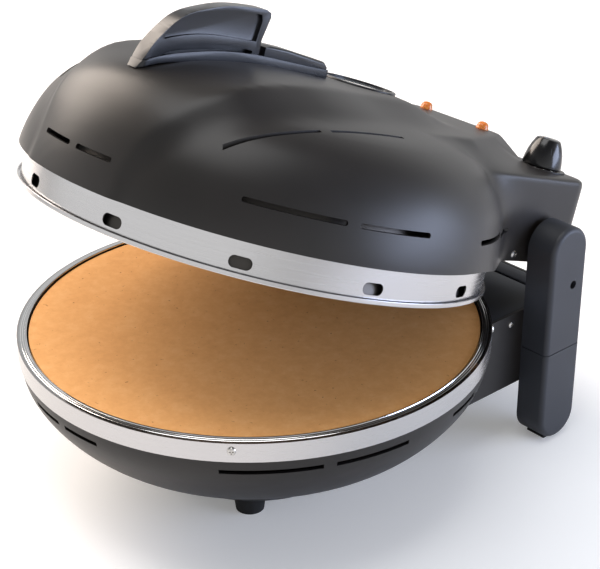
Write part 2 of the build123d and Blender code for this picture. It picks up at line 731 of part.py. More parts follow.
with BuildPart() as fin:
    with BuildSketch(Plane.YZ):
        with BuildLine():
            Spline((-145.5, 92), (-143, 96), (-138, 104.5), (-132.3, 116.2), (-125, 126), (-113.4, 137.2), (-95, 145.1), (-82, 148.8), (-68, 151), (-44, 152.3))
            Polyline((-44, 152.3), (-39.4, 150.6), (-38.6, 147.5), (-42, 132), (-41.2, 118))
            Polyline((-41.2, 118), (-48, 118), (-48, 123.6))
            Spline((-48, 123.6), (-60, 124.2), (-76, 124.0), (-90, 122.4), (-105.5, 119.0), (-117, 114.6), (-130, 107))
            Polyline((-130, 107), (-130, 98), (-145.5, 92))
        make_face()
    extrude(amount=handle_half, both=True)
    add(handle_plan(handle_half), mode=Mode.INTERSECT)
    for side in (-1, 1):
        with BuildSketch(Plane.YZ.offset(side * handle_half)):
            with BuildLine():
                Spline((-124.3, 121.3), (-120.6, 130.6), (-107.9, 139.6), (-91.3, 144.3), (-73.8, 147.2), (-47, 148.4))
                Polyline((-47, 148.4), (-45.4, 144.3), (-46.6, 130.2))
                Spline((-46.6, 130.2), (-68, 129.9), (-86.5, 129.3), (-103.9, 126.9), (-124.3, 121.3))
            make_face()
        extrude(amount=-side * recess_depth, mode=Mode.SUBTRACT)
    with BuildSketch(Plane.YZ):
        with BuildLine():
            Polyline((-132, 108), (-100, 116), (-44, 119), (-42.5, 119), (-42.5, 127), (-100, 124), (-132, 112), (-132, 108))
        make_face()
    extrude(amount=0.8, both=True)
    add(lid_outer, mode=Mode.SUBTRACT)
    add(handle_base.part, mode=Mode.SUBTRACT)
    add(handle_screws.part, mode=Mode.SUBTRACT)

with BuildPart() as handle:
    add(fin.part.solids().sort_by(SortBy.VOLUME)[-1])

with BuildPart() as handle_cap:
    with BuildSketch(Plane.YZ):
        with BuildLine():
            Polyline((-37.5, 112), (-37.5, 127.5), (-32, 129), (-16, 128.4), (4, 126.4), (20, 124.8), (24, 121), (24, 112), (-37.5, 112))
        make_face()
    extrude(amount=strip_half, both=True)
    fillet(handle_cap.edges().filter_by(Axis.Y, tolerance=10).group_by(Axis.Z)[-1], 2)
    add(lid_outer, mode=Mode.SUBTRACT)
    add(handle_base.part, mode=Mode.SUBTRACT)
    add(handle_screws.part, mode=Mode.SUBTRACT)

# ---- lamps, thermostat, dial ---------------------------------------------------------------------
lamp_places = [(side * lamp_x, lamp_y) for side in (-1, 1)]

with BuildPart() as indicator_lamps:
    for x, y in lamp_places:
        with Locations((x, y, plateau_top - 7)):
            Cylinder(lamp_stem, 8, align=CENTRED_LOW)
        with Locations((x, y, plateau_top)):
            Cylinder(5.2, 1.2, align=CENTRED_LOW)
            Cylinder(4.5, 4.8, align=CENTRED_LOW)
    fillet(indicator_lamps.edges().group_by(Axis.Z)[-1], 2.4)

with BuildPart() as lamp_sockets:
    for x, y in lamp_places:
        with Locations((x, y, plateau_top - wall)):
            Cylinder(5.6, 10, align=(Align.CENTER, Align.CENTER, Align.MAX))
            Cylinder(lamp_stem, 4.5, align=(Align.CENTER, Align.CENTER, Align.MAX), mode=Mode.SUBTRACT)

dial_thickness = 1.2
nut_height = 2.5
shaft_radius = 3.0
body_top = tail_top - wall
bush_top = tail_top + dial_thickness + nut_height + 0.4

with BuildPart() as dial_plate:
    with Locations((dial_x, dial_y, tail_top)):
        Cylinder(19, dial_thickness, align=CENTRED_LOW)
        Cylinder(spindle_bush, 5, mode=Mode.SUBTRACT)
    fillet(dial_plate.edges().group_by(Axis.Z)[-1].group_by(SortBy.RADIUS)[-1], 0.5)

with BuildPart() as thermostat_body:
    with Locations((dial_x, dial_y, body_top)):
        Box(34, 30, 24, align=(Align.CENTER, Align.CENTER, Align.MAX))
        fillet(thermostat_body.edges().filter_by(Axis.Z), 2)
        Cylinder(spindle_bush, bush_top - body_top, align=CENTRED_LOW)
        with Locations((0, 0, bush_top - body_top)):
            Cylinder(shaft_radius + running_gap, 26, align=(Align.CENTER, Align.CENTER, Align.MAX), mode=Mode.SUBTRACT)
    with Locations((dial_x - 10, dial_y, body_top - 24), (dial_x + 10, dial_y, body_top - 24)):
        Box(6.3, 0.8, 8, align=(Align.CENTER, Align.CENTER, Align.MAX))

with BuildPart() as thermostat_nut:
    with BuildSketch(Plane.XY.offset(tail_top + dial_thickness)):
        with Locations((dial_x, dial_y)):
            RegularPolygon(6.9, 6)
            Circle(spindle_bush, mode=Mode.SUBTRACT)
    extrude(amount=nut_height)

# ---- what carries the lid on its hinge, and the cover under the tail -------------------------------
with BuildPart() as lid_hinge_plates:
    with BuildSketch(Plane.YZ.offset(plate_inner)):
        with Locations(((178 + 223) / 2, (20 + 60) / 2)):
            RectangleRounded(45, 40, 4)
        with Locations((hinge_y, hinge_local_z)):
            Circle(lid_bush, mode=Mode.SUBTRACT)
        with Locations(*plate_screws_at):
            Circle(plate_screw, mode=Mode.SUBTRACT)
    extrude(amount=3.0)
    mirror(about=Plane.YZ)

with BuildPart() as plate_screws:
    for y, z in plate_screws_at:
        with Locations((tail_half_width - 0.9, y, z)):
            Cylinder(plate_screw, 7, rotation=ALONG_X, align=(Align.CENTER, Align.CENTER, Align.MAX))
        with Locations((plate_inner, y, z)):
            Cylinder(3.2, 1.8, rotation=ALONG_X, align=(Align.CENTER, Align.CENTER, Align.MAX))
    mirror(about=Plane.YZ)

with BuildPart() as hinge_bushes:
    with BuildSketch(Plane.YZ.offset(plate_inner - 3)):
        with Locations((hinge_y, hinge_local_z)):
            Circle(lid_bush)
            Circle(pin_radius + running_gap, mode=Mode.SUBTRACT)
    extrude(amount=tail_half_width - plate_inner + 3)
    with BuildSketch(Plane.YZ.offset(tail_half_width)):
        with Locations((hinge_y, hinge_local_z)):
            Circle(11)
            Circle(pin_radius + running_gap, mode=Mode.SUBTRACT)
    extrude(amount=2.5)
    mirror(about=Plane.YZ)

with BuildPart() as tail_bottom_cover:
    with BuildSketch(Plane.XY.offset(tail_bottom)):
        length = tail_rear - wall - 0.2
        with Locations((0, length / 2)):
            Rectangle(2 * (tail_half_width - wall - 0.2), length)
    extrude(amount=2)
    fillet(tail_bottom_cover.edges().filter_by(Axis.Z).group_by(Axis.Y)[-1], tail_corner - wall)
    add(ring(0, lid_band_radius + 1.3, 0, 40), mode=Mode.SUBTRACT)
    with Locations((tail_half_width - wall - 0.2, tail_screw_y, tail_bottom)):
        Box(5, 14, 12, align=(Align.MAX, Align.CENTER, Align.MIN))
    with Locations((-tail_half_width + wall + 0.2, tail_screw_y, tail_bottom)):
        Box(5, 14, 12, align=(Align.MIN, Align.CENTER, Align.MIN))
    with Locations((0, tail_screw_y, tail_screw_z)):
        Cylinder(screw_radius, 240, rotation=ALONG_X, mode=Mode.SUBTRACT)

with BuildPart() as tail_screws:
    with Locations((tail_half_width, tail_screw_y, tail_screw_z)):
        Cylinder(2.8, 1.4, rotation=ALONG_X, align=CENTRED_LOW)
        Cylinder(screw_radius, 8, rotation=ALONG_X, align=(Align.CENTER, Align.CENTER, Align.MAX))
    mirror(about=Plane.YZ)

# ---- knob and the shaft it turns -----------------------------------------------------------------
knob_low = 83.2
knob_top = 105.5
knob_radius = 15.5

with BuildPart() as thermostat_knob:
    with Locations((dial_x, dial_y, knob_low)):
        Cone(knob_radius, 13.6, 9, align=CENTRED_LOW)
    fillet(thermostat_knob.edges().group_by(Axis.Z)[-1], 1.5)
    with BuildSketch(Plane.XY.offset(knob_low + 2)):
        with Locations((dial_x, dial_y)):
            RectangleRounded(16, 29, 6)
    extrude(amount=knob_top - knob_low - 2, taper=8)
    # the grip's top falls away from its pointer end
    with BuildSketch(Plane.YZ) as slope:
        with BuildLine():
            Polyline(
                (dial_y - 20, knob_top - 0.6), (dial_y + 20, knob_top - 8.6),
                (dial_y + 20, knob_top + 5), (dial_y - 20, knob_top + 5), (dial_y - 20, knob_top - 0.6),
            )
        make_face()
    extrude(amount=120, mode=Mode.SUBTRACT)
    fillet(thermostat_knob.faces().sort_by(Axis.Z)[-1].edges(), 1.2)
    with Locations((dial_x, dial_y, knob_low - 1)):
        Cylinder(8.2, 5, align=CENTRED_LOW, mode=Mode.SUBTRACT)
        Cylinder(shaft_radius, 16, align=CENTRED_LOW, mode=Mode.SUBTRACT)

with BuildPart() as thermostat_shaft:
    with Locations((dial_x, dial_y, 62)):
        Cylinder(shaft_radius, knob_low + 15 - 62, align=CENTRED_LOW)

# ---- standing on the worktop, with the lid swung open ------------------------------------------
# The base's rear face and the ring's front set the middle, so the whole is centred front to back.
base_pieces = {
    "base_shell": base_shell,
    "base_band": base_band,
    "band_screws": band_screws,
    "stone_tray": stone_tray,
    "stone_rim": stone_rim,
    "pizza_stone": pizza_stone,
    "lower_element": lower_element,
    "lower_element_clips": lower_element_clips,
    "lower_insulation": lower_insulation,
    "terminal_block": terminal_block,
    "thermal_cutout": thermal_cutout,
    "mains_inlet_gland": mains_inlet_gland,
    "bottom_cover": bottom_cover,
    "front_feet": front_feet,
    "foot_screws": foot_screws,
    "cover_screws": cover_screws,
    "neck_cover": neck_cover,
    "rear_cover": rear_cover,
    "neck_screws": neck_screws,
    "post_cover_right_upper": post_cover_right_upper,
    "post_cover_right_lower": post_cover_right_lower,
    "post_cover_left_upper": post_cover_left_upper,
    "post_cover_left_lower": post_cover_left_lower,
    "post_pads": post_pads,
    "hinge_bracket_right": hinge_bracket_right,
    "hinge_bracket_left": hinge_bracket_left,
    "hinge_pin_right": hinge_pin_right,
    "hinge_pin_left": hinge_pin_left,
    "bracket_screws": bracket_screws,
    "post_cover_screws": post_cover_screws,
}
lid_pieces = {
    "lid_shell": lid_shell,
    "lid_band": lid_band,
    "lid_reflector": lid_reflector,
    "upper_element": upper_element,
    "upper_element_clips": upper_element_clips,
    "lid_insulation": lid_insulation,
    "window_sleeve": window_sleeve,
    "window_glass": window_glass,
    "window_bezel": window_bezel,
    "handle_screws": handle_screws,
    "handle_base": handle_base,
    "handle": handle,
    "handle_cap": handle_cap,
    "indicator_lamps": indicator_lamps,
    "lamp_sockets": lamp_sockets,
    "dial_plate": dial_plate,
    "thermostat_body": thermostat_body,
    "thermostat_nut": thermostat_nut,
    "lid_hinge_plates": lid_hinge_plates,
    "plate_screws": plate_screws,
    "hinge_bushes": hinge_bushes,
    "tail_bottom_cover": tail_bottom_cover,
    "tail_screws": tail_screws,
    "thermostat_knob": thermostat_knob,
    "thermostat_shaft": thermostat_shaft,
}
middle_y = 37.04
base_frame = Location((0, -middle_y, -worktop))
lid_frame = (
    base_frame
    * Location((0, hinge_y, hinge_z))
    * Location((0, 0, 0), (-lid_open_angle, 0, 0))
    * Location((0, -hinge_y, -hinge_local_z))
)
for pieces, frame in ((base_pieces, base_frame), (lid_pieces, lid_frame)):
    for name, piece in pieces.items():
        piece.part = piece.part.moved(frame)
        piece.part.label = name
        export_step(piece.part, f"parts/{name}.step")
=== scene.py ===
# %% [markdown]
# # An electric pizza maker
#
# The solids of the pizza maker come in already made and already in place. This file gives them
# their looks: it sets the camera and the light, makes one material for each finish of the real
# object, and models again, with softer edges and more detail, the parts that the eye goes to.
#
# Two ideas run through it. Sizes are written in millimetres and turned to metres once, when a
# piece is finished. And each piece is modelled where it is easiest to think about: the base as it
# stands, the lid as if it were shut, and one matrix then swings the lid open. Only a
# piece that starts from a solid's own mesh is in place, and in metres, from the first.

# %% Load the solids
import json
import math

import bmesh
import bpy
from mathutils import Matrix, Vector
from mathutils.geometry import interpolate_bezier


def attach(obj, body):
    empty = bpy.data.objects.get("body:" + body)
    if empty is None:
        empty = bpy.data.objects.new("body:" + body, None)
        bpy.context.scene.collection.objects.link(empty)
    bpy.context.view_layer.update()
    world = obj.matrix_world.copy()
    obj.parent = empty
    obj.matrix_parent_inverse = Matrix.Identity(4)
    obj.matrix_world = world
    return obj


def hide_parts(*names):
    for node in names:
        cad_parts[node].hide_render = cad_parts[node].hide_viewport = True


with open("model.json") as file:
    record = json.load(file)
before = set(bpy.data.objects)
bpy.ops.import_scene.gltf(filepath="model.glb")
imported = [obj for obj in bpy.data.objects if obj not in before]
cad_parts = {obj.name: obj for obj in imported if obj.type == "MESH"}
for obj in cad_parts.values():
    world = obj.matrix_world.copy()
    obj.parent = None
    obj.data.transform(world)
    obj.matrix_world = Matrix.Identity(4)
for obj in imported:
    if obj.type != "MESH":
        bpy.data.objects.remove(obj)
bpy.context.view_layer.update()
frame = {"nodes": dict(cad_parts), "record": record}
nodes = frame["nodes"]

# %% [markdown]
# ## Where the pieces are
#
# The base is described from the middle of the stone's top. The lid is described shut, from the
# underside of its steel flange. `BASE` and `LID` turn those millimetres into the scene's metres;
# `LID` also swings the lid open about the hinge, as it stands in the picture.

# %% Placement
MM = 0.001
STONE_TOP = 123.0
MIDDLE_Y = 37.04
LID_OPEN = math.radians(19.9)
HINGE_Y, HINGE_Z = 200.5, 39.0
LID_RISE = 3.0

to_metres = Matrix.Scale(MM, 4)
base_place = Matrix.Translation((0, -MIDDLE_Y, STONE_TOP))
swing = (
    Matrix.Translation((0, HINGE_Y, HINGE_Z))
    @ Matrix.Rotation(-LID_OPEN, 4, "X")
    @ Matrix.Translation((0, -HINGE_Y, LID_RISE - HINGE_Z))
)
BASE = to_metres @ base_place
LID = to_metres @ base_place @ swing
print("lid's flange centre:", LID @ Vector((0, 0, 0)))

# %% [markdown]
# ## The camera
#
# The picture was taken from the right front, a little above the object, with a lens long enough
# to keep the stone's ellipse calm. The angles, the distance and the lens below were worked out from
# the ellipses of the stone, the base's band and the lid's flange, which are circles on the
# real thing.

# %% Camera
AZIMUTH, ELEVATION, ROLL = (math.radians(a) for a in (48.64, 26.83, -0.218))
TARGET = Vector((0.0087, -0.0006, 0.1406))
DISTANCE = 1.1458
LENS = 92.8

back = Vector((
    math.sin(AZIMUTH) * math.cos(ELEVATION),
    -math.cos(AZIMUTH) * math.cos(ELEVATION),
    math.sin(ELEVATION),
))
right = Vector((math.cos(AZIMUTH), math.sin(AZIMUTH), 0))
up = back.cross(right)
turned_right = math.cos(ROLL) * right + math.sin(ROLL) * up
turned_up = math.cos(ROLL) * up - math.sin(ROLL) * right

camera_data = bpy.data.cameras.new("camera")
camera_data.lens = LENS
camera_data.sensor_width = 36
camera_data.clip_start, camera_data.clip_end = 0.05, 20
camera = bpy.data.objects.new("camera", camera_data)
turn = Matrix((turned_right, turned_up, back)).transposed().to_4x4()
camera.matrix_world = Matrix.Translation(TARGET + back * DISTANCE) @ turn
bpy.context.scene.collection.objects.link(camera)
bpy.context.scene.camera = camera
print("camera stands at:", camera.matrix_world.translation)

# %% [markdown]
# ## Materials: the helpers
#
# A material is a small graph of nodes. `add_node` adds one node, with its settings and what feeds
# it, so a graph reads from top to bottom. Colours are written as the hex values a painter would
# pick on screen and turned to linear light by `linear`. `per_mm` turns a real size into the scale
# that a texture on Object coordinates, which are metres, needs.

# %% Material helpers
def linear(hex_colour):
    """The linear RGBA of an sRGB hex colour."""
    channels = [int(hex_colour[i:i + 2], 16) / 255 for i in (1, 3, 5)]
    return (*[c / 12.92 if c <= 0.04045 else ((c + 0.055) / 1.055) ** 2.4 for c in channels], 1)


def per_mm(size):
    """Texture scale for features of this many millimetres."""
    return 1000 / size


def add_node(tree, kind, inputs=None, **settings):
    """Add one node. A socket given as an input is linked, anything else is set on the socket."""
    node = tree.nodes.new(kind)
    for name, value in settings.items():
        setattr(node, name, value)
    for name, value in (inputs or {}).items():
        if isinstance(value, bpy.types.NodeSocket):
            tree.links.new(value, node.inputs[name])
        else:
            node.inputs[name].default_value = value
    return node


def new_material(name, colour, roughness, metallic=0.0, **sockets):
    """A Principled material. Returns it with its tree and shader, so more can be linked in."""
    made = bpy.data.materials.new(name)
    made.use_nodes = True
    tree = made.node_tree
    shader = tree.nodes["Principled BSDF"]
    shader.inputs["Base Color"].default_value = linear(colour)
    shader.inputs["Roughness"].default_value = roughness
    shader.inputs["Metallic"].default_value = metallic
    for socket, value in sockets.items():
        shader.inputs[socket.replace("_", " ")].default_value = value
    made.diffuse_color = linear(colour)
    return made, tree, shader


def object_point(tree):
    """Where a point lies in the object's own metres."""
    return add_node(tree, "ShaderNodeTexCoord").outputs["Object"]


def ramp(tree, factor, stops):
    """A colour ramp of (position, hex colour) stops."""
    node = add_node(tree, "ShaderNodeValToRGB", {"Fac": factor})
    while len(node.color_ramp.elements) < len(stops):
        node.color_ramp.elements.new(0.5)
    for element, (position, colour) in zip(node.color_ramp.elements, stops):
        element.position = position
        element.color = linear(colour)
    return node.outputs["Color"]


def grain_bump(tree, shader, scale, height_mm, detail=3.0, vector=None):
    """Fine relief over a whole surface."""
    grain = add_node(
        tree, "ShaderNodeTexNoise",
        {
            "Vector": vector or object_point(tree), "Scale": scale, "Detail": detail,
            "Roughness": 0.6,
        },
    )
    bump = add_node(
        tree, "ShaderNodeBump",
        {"Height": grain.outputs["Fac"], "Strength": 1.0, "Distance": height_mm * MM},
    )
    tree.links.new(bump.outputs["Normal"], shader.inputs["Normal"])


# %% [markdown]
# ## Moulded plastics
#
# The covers are injection-moulded ABS, which copies the surface of its mould: the lid and the posts
# are satin with a fine grain, and the handle and the knob are glossier. One even colour would look
# painted on, so colour and gloss both drift a little over some centimetres, and a noise gives the
# grain. The real grain is about 0.1 mm, too fine to show, so it is drawn at 0.7 mm.

# %% Moulded plastics
DRIFT_MM, GLOSS_DRIFT = 60, 0.03


def moulded(name, dark, light, roughness, grain_mm=0.7, height_mm=0.012, **sockets):
    """Injection-moulded plastic: an even colour that drifts a little, over a fine spark grain."""
    made, tree, shader = new_material(name, dark, roughness, **sockets)
    point = object_point(tree)
    drift = add_node(
        tree, "ShaderNodeTexNoise",
        {"Vector": point, "Scale": per_mm(DRIFT_MM), "Detail": 2.0},
    )
    colour = ramp(tree, drift.outputs["Fac"], [(0.35, dark), (0.65, light)])
    tree.links.new(colour, shader.inputs["Base Color"])
    rough = add_node(
        tree, "ShaderNodeMapRange",
        {
            "Value": drift.outputs["Fac"],
            "To Min": roughness - GLOSS_DRIFT, "To Max": roughness + GLOSS_DRIFT,
        },
    )
    tree.links.new(rough.outputs["Result"], shader.inputs["Roughness"])
    grain_bump(tree, shader, per_mm(grain_mm), height_mm, vector=point)
    return made


# ABS with a soft-touch finish: warm near-black, with wide soft highlights.
shell_plastic = moulded("soft_touch_abs", "#1e1c1b", "#221f1e", 0.4, Specular_IOR_Level=0.42)
# Plain ABS from a grained mould: bluish dark grey, the most matt of the four.
post_plastic = moulded("post_abs", "#292b31", "#2e3036", 0.5)
# ABS from a smoother mould: navy black, with a narrow bright highlight along the edges.
handle_plastic = moulded("handle_abs", "#0f1116", "#14161c", 0.28)
# ABS from a polished mould: black, with sharp reflections.
knob_plastic = moulded("knob_abs", "#0c0c0e", "#111114", 0.18, height_mm=0.004)
print("moulded:", [m.name for m in bpy.data.materials])

# %% [markdown]
# ## Metals
#
# The two bands are stainless sheet, brushed along their length: fine lines run round them, and the
# lines smear a reflection upwards and downwards. A noise squeezed in one direction draws such
# lines. It is turned with the lid for the lid's band, so that its lines stay parallel to its edge.
# Real brushed lines are finer than 0.1 mm, so they are drawn wider, at 0.35 mm.

# %% Metals
def turned_lines(tree, matrix, across_mm, along_mm):
    """Object coordinates squeezed so that noise becomes long lines round the piece."""
    rotation = matrix.to_euler()
    mapping = add_node(
        tree, "ShaderNodeMapping",
        {"Vector": object_point(tree), "Rotation": rotation},
    )
    sizes = (along_mm, along_mm, across_mm)
    stretch = add_node(
        tree, "ShaderNodeVectorMath",
        {0: mapping.outputs["Vector"], 1: [per_mm(s) for s in sizes]},
        operation="MULTIPLY",
    )
    return stretch.outputs["Vector"]


def brushed(
    name, colour, roughness, turn, across_mm=0.35, along_mm=60, contrast=0.12, height_mm=0.002
):
    """Stainless sheet brushed along its length: fine streaks in gloss, barely any in colour."""
    made, tree, shader = new_material(name, colour, roughness, metallic=1.0)
    lines = add_node(
        tree, "ShaderNodeTexNoise",
        {"Vector": turned_lines(tree, turn, across_mm, along_mm), "Scale": 1.0, "Detail": 3.0},
    )
    rough = add_node(
        tree, "ShaderNodeMapRange",
        {
            "Value": lines.outputs["Fac"],
            "To Min": roughness - contrast, "To Max": roughness + contrast,
        },
    )
    tree.links.new(rough.outputs["Result"], shader.inputs["Roughness"])
    bump = add_node(
        tree, "ShaderNodeBump",
        {"Height": lines.outputs["Fac"], "Strength": 1.0, "Distance": height_mm * MM},
    )
    tree.links.new(bump.outputs["Normal"], shader.inputs["Normal"])
    return made


level = Matrix.Identity(3)
tilted = Matrix.Rotation(LID_OPEN, 3, "X")
# Stainless sheet, brushed lengthwise: bright, with soft stretched reflections.
base_steel = brushed("brushed_stainless_level", "#c9c8c9", 0.24, level)
lid_steel = brushed("brushed_stainless_tilted", "#c9c8c9", 0.24, tilted)
# Stainless, turned and polished: smooth, so each of its steps shines as one thin line.
polished_steel, _, _ = new_material("polished_stainless", "#d8d8d8", 0.12, metallic=1.0)
# Nickel-plated steel: smooth, bright and a little warm.
screw_steel, _, _ = new_material("nickel_screw", "#c4c2bf", 0.2, metallic=1.0)
# Zinc-plated steel: bluish grey and half matt, with a faint grain.
zinc_steel, tree, shader = new_material("zinc_plated_steel", "#8d9196", 0.38, metallic=1.0)
grain_bump(tree, shader, per_mm(1.5), 0.01)
# Rolled aluminium, dulled by the heat: dark grey, with a broad highlight.
reflector_metal, tree, shader = new_material("rolled_aluminium", "#5f5c59", 0.42, metallic=1.0)
grain_bump(tree, shader, per_mm(3), 0.02)
# Steel tube, oxidised by its own heat: brownish grey and dull.
element_metal, tree, shader = new_material("heated_steel_tube", "#4a4440", 0.45, metallic=0.9)
grain_bump(tree, shader, per_mm(1.2), 0.02)
# Brass, turned: yellow and bright, with fine tool marks.
turned_brass, tree, shader = new_material("turned_brass", "#b48f4a", 0.28, metallic=1.0)
grain_bump(tree, shader, per_mm(0.8), 0.004)
# Enamelled sheet: dark brown, with the dull metallic gleam that the tray's edge shows.
tray_enamel = moulded("tray_enamel", "#3a342f", "#453d37", 0.3, grain_mm=1.2, Metallic=0.8)
print("materials so far:", len(bpy.data.materials))

# %% [markdown]
# ## Stone, glass, rubber and the rest
#
# The baking stone is cordierite, pressed and fired: matt and sandy, mottled over some millimetres
# and dotted with darker grains. Three noises draw that, one each for the mottle, the grains and
# the grit, which is drawn a little coarser than it is so that it shows. The last lines give each
# solid the finish of its slot.

# %% Stone, glass, rubber and the rest
MOTTLE_MM, SPECK_MM, GRIT_MM = 9, 2.6, 1.4
# Cordierite: a warm sand colour without any gloss.
stone_face, tree, shader = new_material("cordierite", "#dd9f58", 0.85)
point = object_point(tree)
mottle = add_node(
    tree, "ShaderNodeTexNoise",
    {"Vector": point, "Scale": per_mm(MOTTLE_MM), "Detail": 8.0, "Roughness": 0.75},
)
body_colour = ramp(
    tree, mottle.outputs["Fac"], [(0.3, "#e8a663"), (0.5, "#f0b06b"), (0.7, "#f6bb7a")]
)
speck = add_node(
    tree, "ShaderNodeTexNoise", {"Vector": point, "Scale": per_mm(SPECK_MM), "Detail": 2.0}
)
speck_mask = add_node(
    tree, "ShaderNodeMapRange",
    {"Value": speck.outputs["Fac"], "From Min": 0.7, "From Max": 0.78},
)
stone_colour = add_node(
    tree, "ShaderNodeMix",
    {"Factor": speck_mask.outputs["Result"], "A": body_colour, "B": linear("#b9733a")},
    data_type="RGBA",
)
tree.links.new(stone_colour.outputs["Result"], shader.inputs["Base Color"])
grain_bump(tree, shader, per_mm(GRIT_MM), 0.12, vector=point)

# Tempered glass: clear and smooth, faintly blue, with a hard reflection.
window_glass, _, _ = new_material(
    "tempered_glass", "#dfe6ea", 0.05, Transmission_Weight=0.85, Coat_Weight=0.3
)
# Dyed polycarbonate, moulded: the light goes in and is scattered, so the unlit lamp looks milky.
lamp_lens, _, _ = new_material(
    "orange_lens", "#f08a3c", 0.25, Transmission_Weight=0.25, Subsurface_Weight=0.2
)
# Moulded rubber: black and dull.
rubber, tree, shader = new_material("moulded_rubber", "#121212", 0.75)
grain_bump(tree, shader, per_mm(0.6), 0.02)
# Steatite, pressed and fired: off-white, with a slight sheen.
ceramic, tree, shader = new_material("steatite", "#e9e3d4", 0.5)
grain_bump(tree, shader, per_mm(1), 0.02)
# Mineral wool, felted: pale, rough and without gloss.
mineral_wool, tree, shader = new_material("mineral_wool", "#cfc8b4", 0.95)
grain_bump(tree, shader, per_mm(2), 0.4, detail=6)

FINISH = {
    "shell_plastic": shell_plastic,
    "post_plastic": post_plastic,
    "handle_plastic": handle_plastic,
    "knob_plastic": knob_plastic,
    "band_steel": base_steel,
    "rim_steel": polished_steel,
    "tray_enamel": tray_enamel,
    "stone": stone_face,
    "reflector_aluminium": reflector_metal,
    "element_steel": element_metal,
    "insulation": mineral_wool,
    "window_glass": window_glass,
    "lamp_lens": lamp_lens,
    "screw_steel": screw_steel,
    "bracket_steel": zinc_steel,
    "brass": turned_brass,
    "rubber": rubber,
    "ceramic": ceramic,
}
slot_of = {part["node"]: part["material_slot"] for part in frame["record"]["subparts"]}
for name, solid in nodes.items():
    solid.data.materials.clear()
    solid.data.materials.append(FINISH[slot_of[name]])
nodes["lid_band"].data.materials[0] = lid_steel
print("slots:", len(FINISH), "materials:", len(bpy.data.materials))

# %% [markdown]
# ## Modelling helpers
#
# Every new piece is a bmesh, shaped in millimetres and turned to metres at the very end, so that
# the finished object sits at the origin with its place in its mesh. `finish_piece` does that last
# step, gives the piece its material, hangs it on the body it moves with and hides the solid that
# it stands for.

# %% Modelling helpers
def loose_object(name, bm):
    """Turn a bmesh into a mesh object, with its numbers as they are, and free the bmesh."""
    mesh = bpy.data.meshes.new(name)
    bm.to_mesh(mesh)
    bm.free()
    made = bpy.data.objects.new(name, mesh)
    bpy.context.scene.collection.objects.link(made)
    return made


def add_form(into, form):
    """Add one bmesh to another, and free it."""
    mesh = bpy.data.meshes.new("form")
    form.to_mesh(mesh)
    form.free()
    into.from_mesh(mesh)
    bpy.data.meshes.remove(mesh)


def modified(loose, *steps):
    """Apply modifiers, each given as (kind, settings), and leave a plain mesh on the object."""
    for kind, settings in steps:
        modifier = loose.modifiers.new(kind.lower(), kind)
        for name, value in settings.items():
            setattr(modifier, name, value)
    seen = loose.evaluated_get(bpy.context.evaluated_depsgraph_get())
    mesh = bpy.data.meshes.new_from_object(seen)
    loose.modifiers.clear()
    loose.data = mesh
    return loose


def finish_piece(piece, place, material, body, stands_for=(), sharp=35):
    """Move a piece from its own millimetres into the scene and hang it on its body."""
    piece.data.transform(place)
    for polygon in piece.data.polygons:
        polygon.use_smooth = True
    piece.data.set_sharp_from_angle(angle=math.radians(sharp))
    piece.data.materials.clear()
    piece.data.materials.append(material)
    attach(piece, body)
    if stands_for:
        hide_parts(*stands_for)
    triangles = sum(len(polygon.vertices) - 2 for polygon in piece.data.polygons)
    print(piece.name, "triangles:", triangles)


def through(points, steps):
    """A smooth line through points, as Bezier spans whose tangents follow the neighbours."""
    points = [Vector(point) for point in points]
    spans = list(zip(points, points[1:]))
    slopes = []
    for before, after in zip(spans, spans[1:]):
        short, long = (before[1] - before[0]).length, (after[1] - after[0]).length
        slope = (before[1] - before[0]) / short * long + (after[1] - after[0]) / long * short
        slopes.append(slope / (short + long))
    first, last = spans[0], spans[-1]
    slopes.insert(0, (first[1] - first[0]).normalized())
    slopes.append((last[1] - last[0]).normalized())
    line = [points[0]]
    for (start, end), leave, arrive in zip(spans, slopes, slopes[1:]):
        reach = (end - start).length / 3
        span = interpolate_bezier(
            start, start + leave * reach, end - arrive * reach, end, steps + 1
        )
        line.extend(span[1:])
    return line


def turned(bm, outline, segments):
    """Spin an outline of (radius, height) points, closed at the axis or into a ring, about Z."""
    verts = [bm.verts.new((radius, 0, height)) for radius, height in outline]
    edges = [bm.edges.new(pair) for pair in zip(verts, verts[1:])]
    bmesh.ops.spin(
        bm, geom=verts + edges, cent=(0, 0, 0), axis=(0, 0, 1), angle=2 * math.pi,
        steps=segments, use_merge=True,
    )
    bmesh.ops.remove_doubles(bm, verts=bm.verts, dist=1e-4)
    bmesh.ops.recalc_face_normals(bm, faces=bm.faces)


def smooth(bm, verts, times):
    """Move each vertex half way to the middle of its neighbours, and again."""
    for _ in range(times):
        bmesh.ops.smooth_vert(
            bm, verts=verts, factor=0.5, use_axis_x=True, use_axis_y=True, use_axis_z=True
        )


# %% [markdown]
# ## The lid's moulded shell
#
# On the real lid one moulding runs from a round front into a square rear, with a low band raised
# over its middle, and every one of these forms melts into the next. Subdivision would need a cage
# that follows all of the creases. It is simpler to make each form on its own, melt the lot into one
# skin with a voxel remesh, and then relax the skin: a few rounds everywhere take the edges off,
# and more rounds in the hollows alone lay a wide fillet there, as a mould maker would.

# %% Forms of the lid
# The forms reach below the shell's lower edge, down to FORM_FLOOR, and are cut off there later.
FORM_FLOOR = 8
LID_EDGE, TAIL_BOTTOM, LID_WALL = 24.0, 15.5, 2.5
VOXEL = 2.5
dome_profile = [
    (173.8, 0, FORM_FLOOR), (173.6, 0, 24), (169.4, 0, 44), (161, 0, 64), (146, 0, 82),
    (128, 0, 91.8), (105, 0, 97.3), (60, 0, 101.3), (0, 0, 102.3),
]
